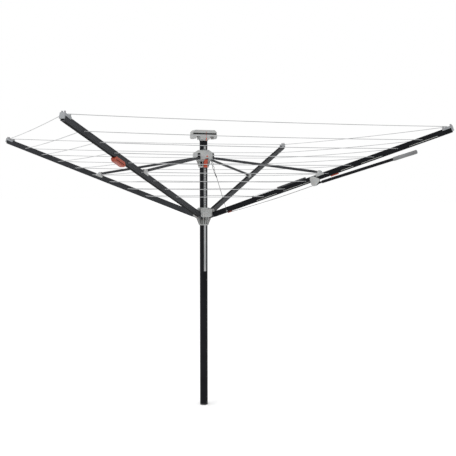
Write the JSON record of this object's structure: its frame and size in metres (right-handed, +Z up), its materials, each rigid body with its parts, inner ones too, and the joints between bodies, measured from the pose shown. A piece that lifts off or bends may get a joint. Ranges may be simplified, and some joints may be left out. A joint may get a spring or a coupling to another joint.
{
  "type": "rotary clothesline",
  "caption": "Rotary clothesline with a slotted pole, sliding hubs, folding arms on struts, rounds of line and a pull lever.",
  "frame": {"origin": "centre of the pole foot's lower face", "axes": "+Z up along the pole; +X along the arm that carries the pull lever; +Y along the next arm counter-clockwise"},
  "size_m": [3.1212, 3.1212, 1.782],
  "materials": {
    "dark_metal": "satin powder coat over aluminium",
    "pale_plastic": "matt moulded",
    "dark_plastic": "matt moulded",
    "orange_plastic": "satin moulded",
    "strip_plastic": "matt moulded",
    "liner_plastic": "smooth",
    "bright_steel": "zinc plated",
    "line_cord": "smooth coated line",
    "rope_cord": "braided"
  },
  "bodies": {
    "foot": {"foot_bush": "dark_plastic"},
    "pole": {"pole_tube": "dark_metal", "rack_strip": "strip_plastic", "head_body": "pale_plastic", "head_cover": "pale_plastic", "head_screws": "bright_steel", "head_marks": "orange_plastic"},
    "upper_hub": {"upper_hub_body": "pale_plastic", "upper_hub_cap": "pale_plastic", "upper_hub_liner": "liner_plastic", "strut_pivots": "bright_steel", "upper_hub_mark": "orange_plastic", "release_pin": "bright_steel"},
    "release_lever": {"release_lever": "orange_plastic"},
    "lower_hub": {"lower_hub_body": "pale_plastic", "lower_hub_plate": "pale_plastic", "lower_hub_liner": "liner_plastic", "clothes_line": "line_cord"},
    "rope_guide": {"rope_eyelet": "pale_plastic", "pull_rope_drop": "rope_cord"},
    "pull_lever": {"rope_drum": "dark_plastic", "lever_rod": "dark_metal", "lever_grip": "pale_plastic"},
    "arm_1": {"arm_tube_1": "dark_metal", "arm_foot_1": "dark_plastic", "tip_cap_1": "pale_plastic", "strut_bracket_1": "pale_plastic", "strut_pin_1": "bright_steel", "pull_rope_run": "rope_cord", "rope_clips": "orange_plastic", "lever_housing": "pale_plastic", "lever_axle": "bright_steel", "return_spring": "bright_steel", "spring_anchor": "dark_plastic", "spring_cover": "dark_plastic"},
    "strut_1": {"strut_tube_1": "dark_metal", "strut_ends_1": "dark_plastic"},
    "arm_2": {"arm_tube_2": "dark_metal", "arm_foot_2": "dark_plastic", "tip_cap_2": "pale_plastic", "strut_bracket_2": "pale_plastic", "strut_pin_2": "bright_steel"},
    "strut_2": {"strut_tube_2": "dark_metal", "strut_ends_2": "dark_plastic"},
    "arm_3": {"arm_tube_3": "dark_metal", "arm_foot_3": "dark_plastic", "tip_cap_3": "pale_plastic", "strut_bracket_3": "pale_plastic", "strut_pin_3": "bright_steel"},
    "strut_3": {"strut_tube_3": "dark_metal", "strut_ends_3": "dark_plastic"},
    "arm_4": {"arm_tube_4": "dark_metal", "arm_foot_4": "dark_plastic", "tip_cap_4": "pale_plastic", "strut_bracket_4": "pale_plastic", "strut_pin_4": "bright_steel", "line_tensioner": "orange_plastic"},
    "strut_4": {"strut_tube_4": "dark_metal", "strut_ends_4": "dark_plastic"}
  },
  "joints": [
    {"name": "spin", "type": "hinge", "parent": "foot", "child": "pole", "pos_m": [0, 0, 0], "axis": [0, 0, 1], "continuous": true},
    {"name": "height", "type": "slide", "parent": "pole", "child": "upper_hub", "axis": [0, 0, 1], "range_m": [-0.29, 0.055]},
    {"name": "fold", "type": "slide", "parent": "upper_hub", "child": "lower_hub", "axis": [0, 0, -1], "range_m": [0, 1.1231], "deforming": ["clothes_line"]},
    {"name": "strut_1_swing", "type": "hinge", "parent": "upper_hub", "child": "strut_1", "pos_m": [0.06, 0, 1.602], "axis": [0, 1, 0], "range_deg": [0, 79.8]},
    {"name": "arm_1_swing", "type": "hinge", "parent": "strut_1", "child": "arm_1", "pos_m": [0.7737, 0, 1.50628], "axis": [0, -1, 0], "range_deg": [0, 146]},
    {"name": "strut_2_swing", "type": "hinge", "parent": "upper_hub", "child": "strut_2", "pos_m": [0, 0.06, 1.602], "axis": [-1, 0, 0], "range_deg": [0, 79.8]},
    {"name": "arm_2_swing", "type": "hinge", "parent": "strut_2", "child": "arm_2", "pos_m": [0, 0.7737, 1.50628], "axis": [1, 0, 0], "range_deg": [0, 146]},
    {"name": "strut_3_swing", "type": "hinge", "parent": "upper_hub", "child": "strut_3", "pos_m": [-0.06, 0, 1.602], "axis": [0, -1, 0], "range_deg": [0, 79.8]},
    {"name": "arm_3_swing", "type": "hinge", "parent": "strut_3", "child": "arm_3", "pos_m": [-0.7737, 0, 1.50628], "axis": [0, 1, 0], "range_deg": [0, 146]},
    {"name": "strut_4_swing", "type": "hinge", "parent": "upper_hub", "child": "strut_4", "pos_m": [0, -0.06, 1.602], "axis": [1, 0, 0], "range_deg": [0, 79.8]},
    {"name": "arm_4_swing", "type": "hinge", "parent": "strut_4", "child": "arm_4", "pos_m": [0, -0.7737, 1.50628], "axis": [-1, 0, 0], "range_deg": [0, 146]},
    {"name": "rope_guide_slide", "type": "slide", "parent": "upper_hub", "child": "rope_guide", "axis": [-0.096, 0, -0.9954], "range_m": [0, 1.0397], "deforming": ["pull_rope_drop"]},
    {"name": "pull_lever_swing", "type": "hinge", "parent": "arm_1", "child": "pull_lever", "pos_m": [0.76354, -0.018, 1.43838], "axis": [0, 1, 0], "range_deg": [0, 110]},
    {"name": "release_lever_swing", "type": "hinge", "parent": "upper_hub", "child": "release_lever", "pos_m": [0.02871, -0.02871, 1.588], "axis": [-0.7071, -0.7071, 0], "range_deg": [0, 20], "stiffness_Nm_per_rad": 0.3}
  ],
  "couplings": [
    {"joint": "strut_1_swing", "follows": "fold", "rad_per_m": 1.2398},
    {"joint": "arm_1_swing", "follows": "fold", "rad_per_m": 2.2685},
    {"joint": "strut_2_swing", "follows": "fold", "rad_per_m": 1.2398},
    {"joint": "arm_2_swing", "follows": "fold", "rad_per_m": 2.2685},
    {"joint": "strut_3_swing", "follows": "fold", "rad_per_m": 1.2398},
    {"joint": "arm_3_swing", "follows": "fold", "rad_per_m": 2.2685},
    {"joint": "strut_4_swing", "follows": "fold", "rad_per_m": 1.2398},
    {"joint": "arm_4_swing", "follows": "fold", "rad_per_m": 2.2685},
    {"joint": "rope_guide_slide", "follows": "fold", "ratio": 0.92533}
  ]
}
